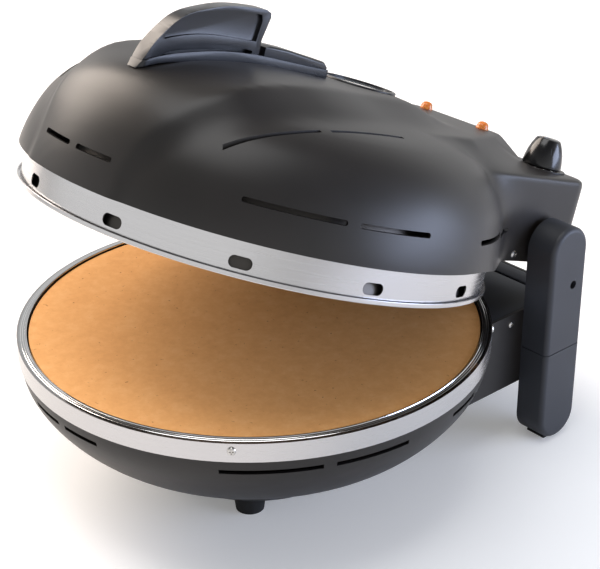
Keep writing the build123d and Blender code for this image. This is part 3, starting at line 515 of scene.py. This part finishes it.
# Where the raised band's middle line runs (y, z) and how far it leans, then half its width, how
# far its edges drop below its middle, and how steeply its sides fall away.
band_line = [
    (-177, 5, 88), (-173, 40, 80), (-163, 72, 66), (-147, 95.4, 40), (-107, 109, 15),
    (-50, 115.6, 3), (25, 113.6, -2), (86, 111, -4), (110, 104.5, -20), (140, 97.5, -8),
]
band_shape = [
    (48, 5.7, 45), (46.5, 7.2, 41), (52.5, 8.7, 38), (58, 11.5, 39), (65.5, 3.5, 40),
    (62, 2, 31), (49, 1, 22), (40, 0.9, 27), (39, 0.8, 27), (39.01, 0.8, 27),
]
BAND_SIDE = 30
TAIL_HALF, TAIL_FRONT, TAIL_REAR, TAIL_TOP = 105, 60, 237, 81.5
TAIL_LEAN, TAIL_CORNER = 2.5, 12
print("points of the dome:", len(dome_profile), "of the band:", len(band_line))

# %% Round front
forms = bmesh.new()
side = [(0, FORM_FLOOR)] + [(point.x, point.z) for point in through(dome_profile, 6)]
turned(forms, side, 128)
print("round front, vertices:", len(forms.verts))

# %% Raised band
# The top of the band is a grid whose rows stand on the middle line, each with its own lean, crown
# and sides. Drawn in towards a point low in the lid, a copy of it closes the form below.
LID_HEART, DRAWN_IN = Vector((0, 0, 30)), 0.72
band = bmesh.new()
across = [-2, -1.75, -1.5, -1.25, -1.1, *[n / 12 - 1 for n in range(25)], 1.1, 1.25, 1.5, 1.75, 2]
middles, shapes = through(band_line, 8), through(band_shape, 8)
bmesh.ops.create_grid(band, x_segments=len(across) - 1, y_segments=len(middles) - 1, size=1)
ordered = sorted(band.verts, key=lambda v: (round(v.co.y, 5), round(v.co.x, 5)))
for number, vert in enumerate(ordered):
    row, column = divmod(number, len(across))
    (y, z, lean), (half, crown, fall) = middles[row], shapes[row]
    part_way = across[column]
    if abs(part_way) <= 1:
        x, drop = half * part_way, crown * part_way ** 2
    else:
        beyond = (abs(part_way) - 1) * BAND_SIDE
        x = math.copysign(half + beyond, part_way)
        drop = crown + beyond * math.tan(math.radians(fall))
    lean = math.radians(lean)
    vert.co = (x, y + drop * math.sin(lean), z - drop * math.cos(lean))
lower = bmesh.ops.extrude_face_region(band, geom=band.faces[:])
for piece in lower["geom"]:
    if isinstance(piece, bmesh.types.BMVert):
        piece.co = LID_HEART + (piece.co - LID_HEART) * DRAWN_IN
bmesh.ops.recalc_face_normals(band, faces=band.faces)
print("raised band, vertices:", len(band.verts))

# %% Square tail, and the low field that carries the band on it
tail = bmesh.new()
bmesh.ops.create_cube(tail, size=1)
bmesh.ops.transform(
    tail, verts=tail.verts,
    matrix=Matrix.Translation((0, (TAIL_FRONT + TAIL_REAR) / 2, (TAIL_TOP + FORM_FLOOR) / 2))
    @ Matrix.Diagonal((2 * TAIL_HALF, TAIL_REAR - TAIL_FRONT, TAIL_TOP - FORM_FLOOR, 1)),
)
for vert in tail.verts:
    if vert.co.y > 200 and vert.co.z > 60:
        vert.co.y -= TAIL_LEAN
corners = [e for e in tail.edges if all(v.co.y > 200 for v in e.verts) and e.calc_length() < 100]
bmesh.ops.bevel(
    tail, geom=corners, offset=TAIL_CORNER, segments=8, profile=0.5, affect="EDGES", material=-1
)

# The field is the hull of a flat top and of a foot, which lies lower and reaches further out.
plateau = bmesh.new()
for z, out in ((98, 0), (74, 24)):
    for x, y in ((40, 194), (56, 166), (81, 111), (87, 62)):
        back = out if y > 180 else 0.4 * out
        for way in (1, -1):
            plateau.verts.new((way * (x + out), y + back, z))
bmesh.ops.convex_hull(plateau, input=plateau.verts)
print("tail, vertices:", len(tail.verts), "field:", len(plateau.verts))

# %% Cheeks between the round front and the tail
# A wedge on each side fills the corner between the round front and the tail. At each height its
# outer face leaves the round form along a tangent and runs straight to the tail's side.
cheek = bmesh.new()
CHEEK_ANGLE = math.radians(35)
for way in (1, -1):
    wedge = bmesh.new()
    for z, radius in ((FORM_FLOOR, 173.8), (24, 173.6), (44, 169.4), (64, 161), (76, 151)):
        leave = radius * Vector((math.cos(CHEEK_ANGLE), math.sin(CHEEK_ANGLE)))
        meet_y = (radius - TAIL_HALF * math.cos(CHEEK_ANGLE)) / math.sin(CHEEK_ANGLE)
        for x, y in ((70, 70), (70, meet_y), (TAIL_HALF, meet_y), leave):
            wedge.verts.new((way * x, y, z))
    bmesh.ops.convex_hull(wedge, input=wedge.verts)
    add_form(cheek, wedge)
print("cheeks, vertices:", len(cheek.verts))

# %% Melt the forms into one skin
for form in (band, tail, plateau, cheek):
    add_form(forms, form)
lid_skin = loose_object("lid_shell_skin", forms)
modified(lid_skin, ("REMESH", {"mode": "VOXEL", "voxel_size": VOXEL}))
print("skin faces:", len(lid_skin.data.polygons))

# %% [markdown]
# ### Relaxing the skin
#
# The remesh leaves small even faces, with sharp creases where two forms meet. Moving each vertex
# towards the middle of its neighbours rounds every crease. Doing so over and over in the hollows
# alone widens the fillets there and leaves the ridges as they are. The shell is open below, and its
# lower edge is a curve: each vertex is lowered by the height of that edge where it stands, a flat
# plane cuts at zero, and the vertices go back up.

# %% Relax the skin and fill its hollows
HOLLOW = 0.004


def fill_hollows(bm, verts, rounds):
    """Relax only the hollow places, which widens the fillet there and leaves the rest alone."""
    for _ in range(rounds):
        bm.normal_update()
        hollows = []
        for vert in verts:
            links = vert.link_edges
            middle = sum((edge.other_vert(vert).co for edge in links), Vector()) / len(links)
            if (middle - vert.co).dot(vert.normal) > HOLLOW:
                hollows.append(vert)
        smooth(bm, hollows, 8)


skin = bmesh.new()
skin.from_mesh(lid_skin.data)
smooth(skin, skin.verts, 6)
fill_hollows(skin, skin.verts, 3)
beside_tail = [v for v in skin.verts if v.co.y > 50 and abs(v.co.x) > 62 and v.co.z < 97]
fill_hollows(skin, beside_tail, 22)
print("vertices beside the tail:", len(beside_tail))


# %% Open the skin below
def lower_edge(y):
    """Height of the lower edge: level round the front, then a soft step down to the tail."""
    way = min(max((y - 50) / 95, 0), 1)
    return LID_EDGE + (TAIL_BOTTOM - LID_EDGE) * way * way * (3 - 2 * way)


for vert in skin.verts:
    vert.co.z -= lower_edge(vert.co.y)
bmesh.ops.bisect_plane(
    skin, geom=skin.verts[:] + skin.edges[:] + skin.faces[:], dist=1e-4,
    plane_co=(0, 0, 0), plane_no=(0, 0, 1), clear_inner=True,
)
for vert in skin.verts:
    vert.co.z += lower_edge(vert.co.y)
print("vertices of the open skin:", len(skin.verts))
skin.to_mesh(lid_skin.data)
skin.free()

# %% [markdown]
# ### Slots and holes
#
# The real shell has long cooling slots round its rim and beside its raised band, and holes for the
# window, the lamps, the knob's shaft, the hinge and the tail's screws. Each opening is a bar or a
# rod, and all of them make one cutter. Solidify gives the skin its wall first, and a Boolean then
# cuts every opening through it, so a slot shows how thick the shell is.

# %% Tools for cutting
def arc_bar(bm, centre, radius, start, end, width, low, high, steps=12, rounding=0):
    """A bar of rectangular section bent round a vertical axis, from one angle to another."""
    inner, outer = radius - width / 2, radius + width / 2
    corners = [(inner, low), (outer, low), (outer, high), (inner, high)]
    verts = [bm.verts.new((r, 0, z)) for r, z in corners]
    face = bm.faces.new(verts)
    turn = Matrix.Translation((*centre, 0)) @ Matrix.Rotation(math.radians(start), 4, "Z")
    bmesh.ops.transform(bm, matrix=turn, verts=verts)
    spun = bmesh.ops.spin(
        bm, geom=[face, *face.edges, *verts], cent=(*centre, 0), axis=(0, 0, 1),
        angle=math.radians(end - start), steps=steps,
    )
    last = next(g for g in spun["geom_last"] if isinstance(g, bmesh.types.BMFace))
    if rounding:
        level_edges = [
            edge for end_face in (face, last) for edge in end_face.edges
            if abs(edge.verts[0].co.z - edge.verts[1].co.z) < 1e-4
        ]
        bmesh.ops.bevel(
            bm, geom=level_edges, offset=rounding, segments=4, profile=0.5, affect="EDGES",
            material=-1,
        )


def round_bar(bm, radius, length, place, segments=24):
    """A rod that lies along the place's own Z."""
    bmesh.ops.create_cone(
        bm, cap_ends=True, cap_tris=False, segments=segments,
        radius1=radius, radius2=radius, depth=length, matrix=place,
    )


def circle_through(a, b, c):
    """Centre and radius of the circle through three points in plan."""
    a, b, c = Vector(a), Vector(b), Vector(c)
    along_ab, along_bc = b - a, c - b
    rows = Matrix((along_ab, along_bc))
    centre = rows.inverted() @ Vector((along_ab.dot((a + b) / 2), along_bc.dot((b + c) / 2)))
    return centre, (a - centre).length


# %% Slots and holes of the lid's shell
SLOT, SLOT_END = 3.4, 1.4
RIM_RADIUS, RIM_CUT = 171, 24
BESIDE_BAND_SLOT = 2.8
LAMP_X, LAMP_Y, LAMP_Z = 30, 183, 98
DIAL_X, DIAL_Y = 72.5, 212
TAIL_SCREW_Y, TAIL_SCREW_Z = 165.5, 20.9
WINDOW_Y, WINDOW_Z, WINDOW_LEAN = 68, 112, math.radians(-2)
cutters = bmesh.new()
for near, far, low in ((1.2, 12, 44.3), (42, 65, 46.3), (68, 86.5, 46.3), (107, 128, 41.8)):
    for start, end in ((near - 90, far - 90), (-far - 90, -near - 90)):
        arc_bar(
            cutters, (0, 0), RIM_RADIUS, start, end, RIM_CUT, low, low + SLOT, rounding=SLOT_END
        )
for plan in (
    ((87.8, -127.5), (97.4, -101.5), (104.2, -65)),
    ((105.1, -57), (106.7, -26), (107.5, 8)),
):
    for way in (1, -1):
        points = [(way * x, y) for x, y in plan]
        centre, radius = circle_through(*points)
        start, end = (
            math.degrees(math.atan2(y - centre.y, x - centre.x))
            for x, y in (points[0], points[2])
        )
        end = start + (end - start + 180) % 360 - 180
        arc_bar(cutters, centre, radius, start, end, BESIDE_BAND_SLOT, 60, 112)
for way in (1, -1):
    # the last slot runs along the hollow between the round front and the tail
    start = 40.5 if way > 0 else 127
    arc_bar(
        cutters, (0, 0), 176, start, start + 12.5, 28, 38.4, 38.4 + SLOT, rounding=SLOT_END
    )
    round_bar(cutters, 3.8, 20, Matrix.Translation((way * LAMP_X, LAMP_Y, LAMP_Z)))
across_turn = Matrix.Rotation(math.radians(90), 4, "Y")
round_bar(cutters, 4.8, 20, Matrix.Translation((DIAL_X, DIAL_Y, 80)))
round_bar(cutters, 8, 240, Matrix.Translation((0, HINGE_Y, HINGE_Z - LID_RISE)) @ across_turn)
round_bar(
    cutters, 2, 240, Matrix.Translation((0, TAIL_SCREW_Y, TAIL_SCREW_Z)) @ across_turn
)
round_bar(
    cutters, 26.8, 30,
    Matrix.Translation((0, WINDOW_Y, WINDOW_Z)) @ Matrix.Rotation(WINDOW_LEAN, 4, "X"),
    segments=64,
)
bmesh.ops.recalc_face_normals(cutters, faces=cutters.faces)
cutter = loose_object("cutter", cutters)

modified(
    lid_skin,
    ("SOLIDIFY", {"thickness": LID_WALL, "offset": -1}),
    ("BOOLEAN", {"operation": "DIFFERENCE", "object": cutter, "solver": "MANIFOLD"}),
)
bpy.data.objects.remove(cutter)
finish_piece(lid_skin, LID, shell_plastic, "lid", ["lid_shell"])

# %% [markdown]
# ## Softened mouldings
#
# The handle and the neck's covers are simple mouldings whose solids are right but whose edges are
# knife sharp. A moulded edge always has a small radius, and it is this radius that catches the
# light. So each solid's mesh is copied, its loose triangles are merged into clean faces, and a
# Bevel modifier rounds the edges.

# %% Handle and neck covers
def softened(node, width_mm, body, finish):
    """A copy of a solid with rounded edges, which then stands for that solid."""
    bm = bmesh.new()
    bm.from_mesh(nodes[node].data)
    bmesh.ops.remove_doubles(bm, verts=bm.verts, dist=2e-6)
    bmesh.ops.dissolve_limit(
        bm, angle_limit=math.radians(0.5), verts=bm.verts, edges=bm.edges, delimit={"NORMAL"}
    )
    piece = loose_object(node + "_moulding", bm)
    modified(piece, ("BEVEL", {
        "width": width_mm * MM, "segments": 3, "limit_method": "ANGLE",
        "angle_limit": math.radians(38), "use_clamp_overlap": True,
    }))
    finish_piece(piece, Matrix.Identity(4), finish, body, [node])


for node in ("neck_cover", "rear_cover"):
    softened(node, 0.8, "base", post_plastic)
softened("handle", 1.0, "lid", handle_plastic)
softened("handle_base", 0.8, "lid", handle_plastic)
softened("handle_cap", 0.8, "lid", handle_plastic)

# %% [markdown]
# ## Screws
#
# The screws that show are small nickel-plated pan heads with a cross recess. One head is turned,
# its cross is cut with two crossed bars, and copies of it are stood wherever a screw is.

# %% Pan-head screws
def pan_head(radius, height):
    """One head standing on Z = 0, pointing up."""
    bm = bmesh.new()
    outline = [(0, -1.2), (radius * 0.6, -1.2), (radius, 0), (radius, height * 0.35),
               (radius * 0.82, height * 0.8), (radius * 0.45, height), (0, height)]
    turned(bm, outline, 24)
    head = loose_object("head", bm)
    bars = bmesh.new()
    for turn in (0, 90):
        bmesh.ops.create_cube(
            bars, size=1,
            matrix=Matrix.Translation((0, 0, height)) @ Matrix.Rotation(math.radians(turn), 4, "Z")
            @ Matrix.Diagonal((radius * 1.1, radius * 0.24, height * 0.9, 1)),
        )
    cross = loose_object("cross", bars)
    modified(head, ("BOOLEAN", {
        "operation": "DIFFERENCE", "object": cross, "solver": "EXACT", "use_self": True,
    }))
    bpy.data.objects.remove(cross)
    return head


def screws(name, radius, height, places, place, body, node):
    """Copies of one head at each place, a matrix that takes Z to the way the head faces."""
    head = pan_head(radius, height)
    bm = bmesh.new()
    for where in places:
        copy = head.data.copy()
        copy.transform(where)
        bm.from_mesh(copy)
        bpy.data.meshes.remove(copy)
    bpy.data.objects.remove(head)
    finish_piece(loose_object(name, bm), place, screw_steel, body, [node], 30)


def facing(angle, at):
    """Stand at a point and face sideways, at an angle from +X."""
    return Matrix.Translation(at) @ Matrix.Rotation(math.radians(angle), 4, "Z") @ across_turn


BAND_RADIUS, BAND_SCREW_Z = 173.4, -4.8
band_places = []
for angle in (45, 135, 225, 315):
    turn = math.radians(angle)
    at = (BAND_RADIUS * math.cos(turn), BAND_RADIUS * math.sin(turn), BAND_SCREW_Z)
    band_places.append(facing(angle, at))
screws("band_screw_heads", 3.0, 1.6, band_places, BASE, "base", "band_screws")
NECK_HALF, NECK_SCREW_Y, NECK_SCREW_Z = 109.3, 160, -20
neck_places = [
    facing(0, (NECK_HALF, NECK_SCREW_Y, NECK_SCREW_Z)),
    facing(180, (-NECK_HALF, NECK_SCREW_Y, NECK_SCREW_Z)),
]
screws("neck_screw_heads", 2.8, 1.4, neck_places, BASE, "base", "neck_screws")
tail_places = [
    facing(0, (TAIL_HALF, TAIL_SCREW_Y, TAIL_SCREW_Z)),
    facing(180, (-TAIL_HALF, TAIL_SCREW_Y, TAIL_SCREW_Z)),
]
screws("tail_screw_heads", 2.8, 1.4, tail_places, LID, "lid", "tail_screws")

# %% [markdown]
# ## Stepped rim round the stone
#
# Between the stone and the steel band lies a turned ring of polished steel with shallow steps. They
# are what draws the fine concentric lines round the stone.

# %% Stone rim
rim = bmesh.new()
steps = [
    (166.25, 0.62), (166.25, 1.5), (166.5, 1.7), (167.4, 1.7), (167.7, 1.2), (168.9, 1.15),
    (169.2, 0.95), (170.4, 0.9), (170.7, 0.72), (172.2, 0.7), (172.2, 0.62),
]
turned(rim, steps + steps[:1], 192)
rim_piece = loose_object("stone_rim_steps", rim)
finish_piece(rim_piece, BASE, polished_steel, "base", ["stone_rim"], 20)

# %% [markdown]
# ## Knob
#
# The knob is a tapered barrel with fluted sides and a raised pointer. It is turned, thin slanting
# bars cut a groove each down its sides, and a wedge is joined on for the pointer, where no groove
# is cut. A small bevel then takes the edges off.

# %% Knob
KNOB_LOW = 83.2
POINTER_ANGLE = 270
GROOVE_FOOT, GROOVE_LEAN = (15.2, 0, 14), math.radians(-19)
GROOVE_SIZE = (5.2, 1.5, 19, 1)
POINTER_MIDDLE, POINTER_SIZE = (0, -7.3, 11.2), (2.6, 13.8, 22, 1)
POINTER_SLOPE, POINTER_RISE = 6.4, 0.2
knob = bmesh.new()
barrel = [
    (0, 0), (14.6, 0), (15.3, 0.7), (15.2, 2.4), (14.7, 6), (13.6, 11), (11.9, 16), (10, 20),
    (9.1, 21.2), (7.6, 21.8), (0, 22.0),
]
turned(knob, barrel, 96)
knob_piece = loose_object("thermostat_knob_barrel", knob)
grooves = bmesh.new()
for turn in range(0, 360, 30):
    if turn == POINTER_ANGLE:
        continue
    place = Matrix.Rotation(math.radians(turn), 4, "Z")
    place = place @ Matrix.Translation(GROOVE_FOOT) @ Matrix.Rotation(GROOVE_LEAN, 4, "Y")
    bmesh.ops.create_cube(grooves, size=1, matrix=place @ Matrix.Diagonal(GROOVE_SIZE))
groove_tool = loose_object("grooves", grooves)
pointer = bmesh.new()
bmesh.ops.create_cube(
    pointer, size=1,
    matrix=Matrix.Translation(POINTER_MIDDLE) @ Matrix.Diagonal(POINTER_SIZE),
)
for vert in pointer.verts:
    if vert.co.z > 11 and vert.co.y < -7:
        vert.co.y += POINTER_SLOPE
        vert.co.z += POINTER_RISE
pointer_tool = loose_object("pointer", pointer)
modified(
    knob_piece,
    ("BOOLEAN", {"operation": "DIFFERENCE", "object": groove_tool, "solver": "EXACT"}),
    ("BOOLEAN", {"operation": "UNION", "object": pointer_tool, "solver": "EXACT"}),
    ("BEVEL", {
        "width": 0.3, "segments": 2, "limit_method": "ANGLE", "angle_limit": math.radians(40),
    }),
)
for tool in (groove_tool, pointer_tool):
    bpy.data.objects.remove(tool)
knob_place = LID @ Matrix.Translation((DIAL_X, DIAL_Y, KNOB_LOW))
finish_piece(
    knob_piece, knob_place, knob_plastic, "knob", ["thermostat_knob"], 30
)

# %% [markdown]
# ## Dial marks
#
# The dial round the knob is a thin plate with printed marks. Thirteen plain ticks, every third one
# longer, are thin blocks that stand a hair above the plate, as printed ink does.

# %% Dial marks
DIAL_TOP = TAIL_TOP + 1.2
ticks = bmesh.new()
for number in range(13):
    turn = math.radians(-225 + number * 22.5)
    length = 2.4 if number % 3 == 0 else 1.4
    place = Matrix.Translation((DIAL_X, DIAL_Y, DIAL_TOP + 0.05)) @ Matrix.Rotation(turn, 4, "Z")
    bmesh.ops.create_cube(
        ticks, size=1,
        matrix=place @ Matrix.Translation((16.9, 0, 0)) @ Matrix.Diagonal((length, 0.6, 0.14, 1)),
    )
# Pad-printed ink: pale grey and half matt.
printed_ink, tree, shader = new_material("pad_printed_ink", "#d8d8d4", 0.5)
grain_bump(tree, shader, per_mm(0.5), 0.004)
finish_piece(loose_object("dial_marks", ticks), LID, printed_ink, "lid")

# %% [markdown]
# ## Lamps
#
# Each lamp is a moulded lens: a collar that rests on the shell, and a low dome. Its outline is
# turned once for each side.

# %% Lamps
lamps = bmesh.new()
for way in (1, -1):
    lamp = bmesh.new()
    turned(lamp, [
        (0, -4), (3.6, -4), (3.6, 0), (5.1, 0), (5.1, 0.9), (4.8, 1.3), (4.6, 2.4), (4.1, 3.9),
        (3.1, 5.0), (1.7, 5.6), (0, 5.8),
    ], 32)
    bmesh.ops.translate(lamp, vec=(way * LAMP_X, LAMP_Y, LAMP_Z), verts=lamp.verts)
    add_form(lamps, lamp)
finish_piece(
    loose_object("indicator_lamp_domes", lamps), LID, lamp_lens, "lid",
    ["indicator_lamps"], 40,
)

# %% [markdown]
# ## Floor and light
#
# The picture was taken on white. A large soft light stands on the left, a weaker one hangs above,
# and a cool one behind on the right draws the bright lines on the steel. The floor is pale and
# matt, so it keeps the object's shadow, and glows a little for the camera alone. The world is
# white for the camera and through glass, and weaker as a light.

# %% Lights
def area_light(name, size, power, position, aim, colour="#ffffff"):
    """A rectangular lamp that looks from its position to its aim."""
    data = bpy.data.lights.new(name, "AREA")
    data.shape = "RECTANGLE"
    data.size, data.size_y = size
    data.energy = power
    data.color = linear(colour)[:3]
    lamp = bpy.data.objects.new(name, data)
    lamp.location = position
    lamp.rotation_euler = (Vector(position) - Vector(aim)).to_track_quat("Z", "Y").to_euler()
    bpy.context.scene.collection.objects.link(lamp)


area_light("window_left", (1.2, 1.4), 41, (-1.5, -0.3, 1.3), (0, 0, 0.15), "#fff0e2")
area_light("top", (1.2, 1.2), 15, (0.0, -0.2, 2.0), (0, 0, 0.1))
area_light("rear_right", (1.6, 0.8), 34, (1.6, 1.3, 0.45), (0, 0.1, 0.15), "#cfddff")
print("lamps:", [lamp.name for lamp in bpy.data.lights])

# %% Floor
FLOOR_SIZE, FLOOR_GLOW = 6, 0.2
floor_sheet = bmesh.new()
bmesh.ops.create_grid(floor_sheet, x_segments=1, y_segments=1, size=FLOOR_SIZE)
floor = loose_object("floor", floor_sheet)
# Matt paint, nearly white.
floor_paint, tree, shader = new_material("pale_floor", "#f6f6f6", 0.9)
floor.data.materials.append(floor_paint)
floor_rays = add_node(tree, "ShaderNodeLightPath")
floor_glow = add_node(
    tree, "ShaderNodeMath", {0: floor_rays.outputs["Is Camera Ray"], 1: FLOOR_GLOW},
    operation="MULTIPLY",
)
shader.inputs["Emission Color"].default_value = (1, 1, 1, 1)
tree.links.new(floor_glow.outputs["Value"], shader.inputs["Emission Strength"])
print("floor, metres across:", 2 * FLOOR_SIZE)

# %% World
WORLD_LIGHT = 0.42
world = bpy.data.worlds.new("studio")
world.use_nodes = True
bpy.context.scene.world = world
tree = world.node_tree
tree.nodes.clear()
rays = add_node(tree, "ShaderNodeLightPath")
# Gloss sees a white horizon that darkens overhead, as under a studio's ceiling.
direction = add_node(tree, "ShaderNodeTexCoord").outputs["Generated"]
height = add_node(tree, "ShaderNodeSeparateXYZ", {"Vector": direction}).outputs["Z"]
ceiling = add_node(
    tree, "ShaderNodeMapRange",
    {"Value": height, "From Min": 0.15, "From Max": 0.7, "To Min": 1.0, "To Max": 0.2},
)
strength = add_node(
    tree, "ShaderNodeMix",
    {"Factor": rays.outputs["Is Glossy Ray"], "A": WORLD_LIGHT, "B": ceiling.outputs["Result"]},
    data_type="FLOAT",
)
straight = add_node(
    tree, "ShaderNodeMath",
    {0: rays.outputs["Is Camera Ray"], 1: rays.outputs["Is Transmission Ray"]},
    operation="MAXIMUM",
)
strength = add_node(
    tree, "ShaderNodeMath", {0: strength.outputs["Result"], 1: straight.outputs["Value"]},
    operation="MAXIMUM",
)
sky = add_node(
    tree, "ShaderNodeBackground",
    {"Color": (1, 1, 1, 1), "Strength": strength.outputs["Value"]},
)
add_node(tree, "ShaderNodeOutputWorld", {"Surface": sky.outputs["Background"]})
bpy.context.scene.view_settings.view_transform = "Standard"
print("world light:", WORLD_LIGHT)
